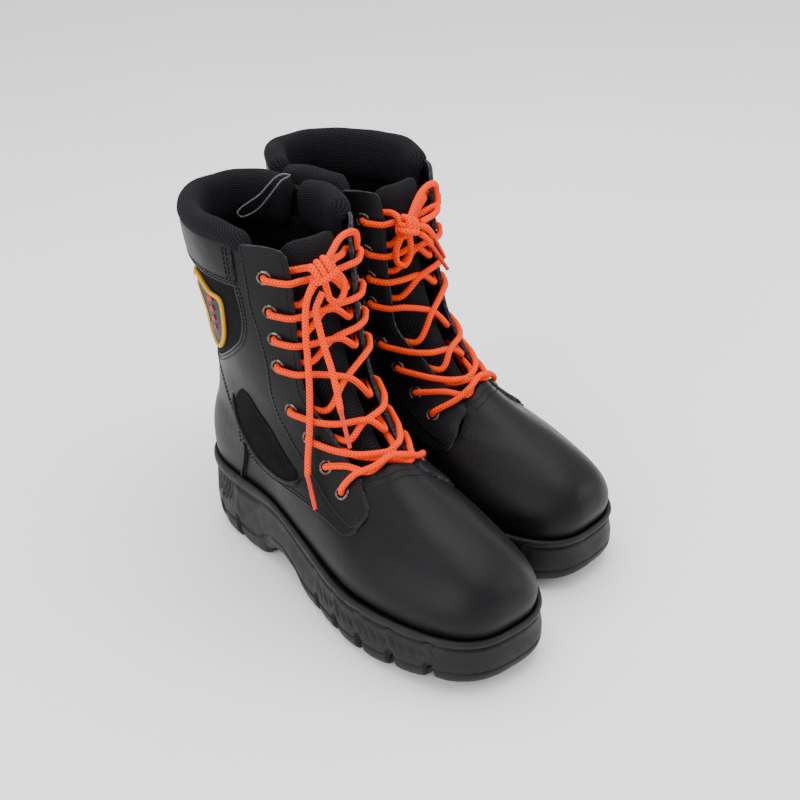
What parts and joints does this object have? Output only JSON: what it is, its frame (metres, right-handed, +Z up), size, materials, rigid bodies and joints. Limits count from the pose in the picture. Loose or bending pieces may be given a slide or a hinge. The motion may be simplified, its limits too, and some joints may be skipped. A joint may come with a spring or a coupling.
{
  "type": "fire boots",
  "caption": "Pair of black laced leather fire boots with side zips, padded collars, woven rear panels, shield badges, thick lugged rubber soles and bright cord laces.",
  "frame": {"origin": "on the ground, in the middle of the pair without its loose lace ends", "axes": "+Z up, toes toward -Y, right boot on the -X side"},
  "size_m": [0.2188, 0.3432, 0.2579],
  "materials": {
    "rubber": "matt moulded rubber",
    "leather": "smooth satin black leather",
    "nubuck": "napped matt leather",
    "woven": "dense twill",
    "collar_knit": "ribbed knit over padding",
    "lining": "brushed textile",
    "board": "pressed fibre board",
    "composite": "moulded composite",
    "foam": "foam footbed with a textile top",
    "gunmetal": "dark plated metal",
    "lace": "braided cord",
    "tip": "translucent heat-shrunk tips",
    "badge": "embroidered patch",
    "tie": "thin twisted cord"
  },
  "bodies": {
    "right_boot": {"right_outsole": "rubber", "right_midsole": "rubber", "right_insole_board": "board", "right_footbed": "foam", "right_toe_cap": "composite", "right_heel_stiffener": "composite", "right_lining": "lining", "right_vamp": "leather", "right_heel_counter": "leather", "right_quarter_lateral": "leather", "right_quarter_medial_front": "leather", "right_quarter_medial_rear": "leather", "right_side_insert": "nubuck", "right_back_panel": "woven", "right_badge": "badge", "right_collar_band": "leather", "right_collar_pad": "collar_knit", "right_eyelets_lateral": "gunmetal", "right_eyelets_medial": "gunmetal", "right_tongue": "woven", "right_zip_tape_front": "woven", "right_zip_tape_rear": "woven", "right_lace": "lace", "right_lace_tail_a": "lace", "right_lace_tail_b": "lace", "right_lace_tip_a": "tip", "right_lace_tip_b": "tip", "right_tie_loop": "tie"},
    "right_zip_slider": {"right_zip_slider": "gunmetal"},
    "right_zip_puller": {"right_zip_puller": "gunmetal"},
    "left_boot": {"left_outsole": "rubber", "left_midsole": "rubber", "left_insole_board": "board", "left_footbed": "foam", "left_toe_cap": "composite", "left_heel_stiffener": "composite", "left_lining": "lining", "left_vamp": "leather", "left_heel_counter": "leather", "left_quarter_lateral": "leather", "left_quarter_medial_front": "leather", "left_quarter_medial_rear": "leather", "left_side_insert": "nubuck", "left_back_panel": "woven", "left_badge": "badge", "left_collar_band": "leather", "left_collar_pad": "collar_knit", "left_eyelets_lateral": "gunmetal", "left_eyelets_medial": "gunmetal", "left_tongue": "woven", "left_zip_tape_front": "woven", "left_zip_tape_rear": "woven", "left_lace": "lace", "left_lace_tail_a": "lace", "left_lace_tail_b": "lace", "left_lace_tip_a": "tip", "left_lace_tip_b": "tip"},
    "left_zip_slider": {"left_zip_slider": "gunmetal"},
    "left_zip_puller": {"left_zip_puller": "gunmetal"}
  },
  "joints": [
    {"name": "left_boot_lift", "type": "slide", "parent": "right_boot", "child": "left_boot", "axis": [0, 0, 1], "range_m": [0, 0.3]},
    {"name": "right_zip_slide", "type": "slide", "parent": "right_boot", "child": "right_zip_slider", "axis": [-0.0862, -0.067, -0.994], "range_m": [0, 0.09]},
    {"name": "right_zip_pull_swing", "type": "hinge", "parent": "right_zip_slider", "child": "right_zip_puller", "pos_m": [-0.01053, 0.0847, 0.23962], "axis": [0.9571, 0.2716, -0.1013], "range_deg": [-75, 75]},
    {"name": "left_zip_slide", "type": "slide", "parent": "left_boot", "child": "left_zip_slider", "axis": [0.0942, -0.0551, -0.994], "range_m": [0, 0.09]},
    {"name": "left_zip_pull_swing", "type": "hinge", "parent": "left_zip_slider", "child": "left_zip_puller", "pos_m": [-0.01165, 0.11978, 0.23962], "axis": [-0.9843, 0.1444, -0.1013], "range_deg": [-75, 75]}
  ]
}
